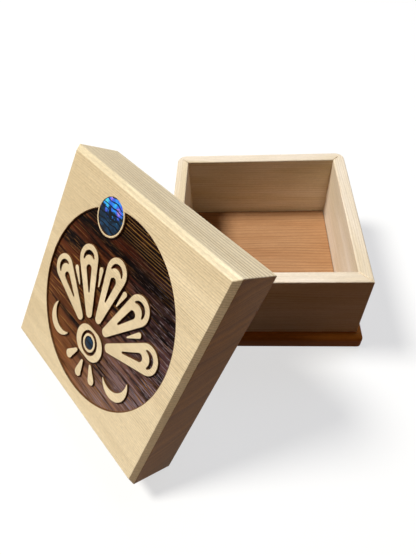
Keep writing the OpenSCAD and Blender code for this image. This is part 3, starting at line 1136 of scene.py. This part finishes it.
# the shell pieces
def shellMaterial(name, look):
    # polished abalone shell: deep blue nacre broken into cyan, violet and rose flashes,
    # crossed by wavy black growth lines, under a glassy polish
    material, tree, shader = newMaterial(name)
    # places measured from the large disc's middle
    vector = addNode(tree, "VectorMath", {
        0: ownAxes(tree, lidFrame), 1: (shellX, shellY, 0.0),
    }, operation="SUBTRACT")
    warp = addNode(tree, "TexNoise", {"Vector": vector, "Scale": 0.3, "Detail": 2.0}, "Color")
    bent = addNode(tree, "VectorMath", {0: warp, 1: (2.4, 2.4, 2.4), 2: vector},
                   operation="MULTIPLY_ADD")
    flashSpot = addNode(tree, "VectorMath", {0: bent, 1: (31.0, 17.0, 0.0)}, operation="ADD")
    cloud, flash, shade, waver = [
        addNode(tree, "TexNoise", {
            "Vector": spot, "Scale": scale, "Detail": detail, "Roughness": roughness,
        })
        for spot, scale, detail, roughness in [
            (bent, 0.27, 2.0, 0.45),  # clouds of colour about 3 mm across
            (flashSpot, 0.34, 3.0, 0.55),
            (bent, 0.2, 2.0, 0.5),
            (vector, 0.13, 1.0, 0.4),
        ]
    ]
    hue, slate = [
        addNode(tree, "ValToRGB", {"Fac": pattern}, stops=hexStops(stops))
        for pattern, stops in [(cloud, look["flashTones"]), (shade, look["slateTones"])]
    ]
    # the flashes crowd towards one side of a piece and the rest is slate blue
    crowd = fadeAlong(tree, vector, look["towards"], (-8.0, 8.0), (-0.35, 0.35))
    flash = addNode(tree, "Math", {0: flash, 1: crowd}, operation="ADD")
    linePlace = addNode(tree, "VectorMath", {0: vector, 1: look["towards"]}, "Value",
                        operation="DOT_PRODUCT")
    linePlace = addNode(tree, "Math", {0: waver, 1: look["lineWaver"], 2: linePlace},
                        operation="MULTIPLY_ADD")
    fromLine = addNode(tree, "Math", {0: linePlace, 1: look["lineSpacing"] / 2}, operation="PINGPONG")
    colour = layered(tree, slate, [
        (flash, 0.55, 0.67, 0.0, 1.0, hue),
        (fromLine, 0.2, 0.45, 0.97, 0.0, linear(look["lineTone"])),
    ])
    setInputs(shader, {
        "Base Color": colour, "Roughness": 0.18, "IOR": 1.55, "Specular IOR Level": 0.07,
    })
    return material


def shellDisc(name, x, y, radius):
    top, ease, dome = lidPlank["thick"], shell["ease"], shell["dome"]
    profile = [(0, top - shell["thick"]), *roundOver(top, ease)]
    for share in (0.2, 0.4, 0.6, 0.8):
        profile.append((ease + (radius - ease) * share, top + dome * (1 - (1 - share) ** 2)))
    profile = [(inset, z - dome) for inset, z in profile]
    piece = crisp(closedLoft(name, circleOutline(x, y, radius), profile, lidPlace, [abalone]))
    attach(piece, "lid")
    return piece


abalone = shellMaterial("abalone_shell_polished", shell)
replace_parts(shellDisc("abalone_disc", shellX, shellY, shell["radius"]), "shell_disc")
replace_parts(shellDisc("abalone_inlay", 0, -drop, shell["inlayRadius"]), "shell_inlay")
print("shell let in")

# floor, light and camera
studio = {
    "floor": "#f4f3f0",
    "floorGlow": 0.65,  # share of the floor's white that the shadow doesn't take
    "shadowEnds": (0.3, 0.8),  # metres from the middle where the shadow starts to fade and is gone
    "floorBounce": "#683f17",  # the floor as the object sees it, a brown table top
    "floorSize": 6.0,
    "floorGap": 0.1,  # millimetres below the box
    # direction, distance and width in metres, power and colour
    "key": ((-0.5, 0.12, 0.86), 2.5, 0.7, 78.5, "#fffefa"),  # from the left and high
    "top": ((0.35, 0.5, 0.8), 2.0, 1.2, 8.3, "#c9dcff"),  # soft, from above and behind
    "fill": ((0.94, -0.05, 0.33), 1.5, 0.8, 1.3, "#ffe2c4"),  # weak, from the right
    "world": "#e0a878",
    "worldStrength": 0.03,
}
view = {
    "place": Vector((-16.19, -191.52, 231.89)),  # millimetres
    "aim": Vector((-0.0585, 0.6282, -0.7759)),
    "roll": -4.42,
    "lens": 29.63,
    "sensor": 36,
    "nearest": 0.01,  # metres
}


def seenShare(tree):
    # 1 for what the camera, a reflection or clear glass sees, 0 for what only lights the object
    ray = addNode(tree, "LightPath").node.outputs
    seen = ray["Is Camera Ray"]
    for kind in ("Is Glossy Ray", "Is Transmission Ray"):
        seen = addNode(tree, "Math", {0: seen, 1: ray[kind]}, operation="MAXIMUM")
    return seen


bm = bmesh.new()
bmesh.ops.create_grid(bm, x_segments=1, y_segments=1, size=studio["floorSize"])
bmesh.ops.translate(bm, verts=bm.verts, vec=(0, 0, -studio["floorGap"] * mm))
paperFloor, tree, shader = newMaterial("matt_paper_floor")  # white paper with a soft shadow on it
seen = seenShare(tree)
floorColour = addNode(tree, "Mix", {
    0: seen, 6: linear(studio["floorBounce"]), 7: linear(studio["floor"]),
}, 2, data_type="RGBA")
setInputs(shader, {"Base Color": floorColour, "Roughness": 0.9, "Specular IOR Level": 0.0})
away = addNode(tree, "VectorMath", {
    0: addNode(tree, "TexCoord", output="Object"),
}, "Value", operation="LENGTH")
glow = addNode(tree, "MapRange", {
    "Value": away, "From Min": studio["shadowEnds"][0], "From Max": studio["shadowEnds"][1],
    "To Min": studio["floorGlow"], "To Max": 1.0,
}, interpolation_type="SMOOTHSTEP")
glow = addNode(tree, "Math", {0: seen, 1: glow}, operation="MULTIPLY")
white = addNode(tree, "Emission")
paper = addNode(tree, "MixShader", {0: glow, 1: shader.outputs[0], 2: white})
setInputs(tree.nodes["Material Output"], {"Surface": paper})
floor = finishMesh(bm, "floor", [paperFloor])

world = bpy.data.worlds.new("studio")
bpy.context.scene.world = world
world.use_nodes = True
tree = world.node_tree
dim = tree.nodes["Background"]
setInputs(dim, {"Color": linear(studio["world"]), "Strength": studio["worldStrength"]})
bright = addNode(tree, "Background", {"Color": linear("#ffffff")})
sky = addNode(tree, "MixShader", {0: seenShare(tree), 1: dim.outputs[0], 2: bright})
setInputs(tree.nodes["World Output"], {"Surface": sky})

for name in ("key", "top", "fill"):
    direction, distance, width, power, colour = studio[name]
    lamp = bpy.data.lights.new(name, "AREA")
    lamp.shape = "DISK"
    lamp.size = width
    lamp.energy = power
    lamp.color = linear(colour)[:3]
    light = linked(name, lamp)
    light.location = Vector(direction).normalized() * distance
    light.rotation_mode = "QUATERNION"
    light.rotation_quaternion = (-Vector(direction)).to_track_quat("-Z", "Y")

cameraData = bpy.data.cameras.new("camera")
cameraData.lens = view["lens"]
cameraData.sensor_width = view["sensor"]
cameraData.clip_start = view["nearest"]
camera = linked("camera", cameraData)
looking = view["aim"].to_track_quat("-Z", "Y").to_matrix().to_4x4()
rolled = looking @ Matrix.Rotation(math.radians(view["roll"]), 4, "Z")
camera.matrix_world = Matrix.Translation(view["place"] * mm) @ rolled
bpy.context.scene.camera = camera
bpy.context.scene.view_settings.view_transform = "Standard"
print("studio set")
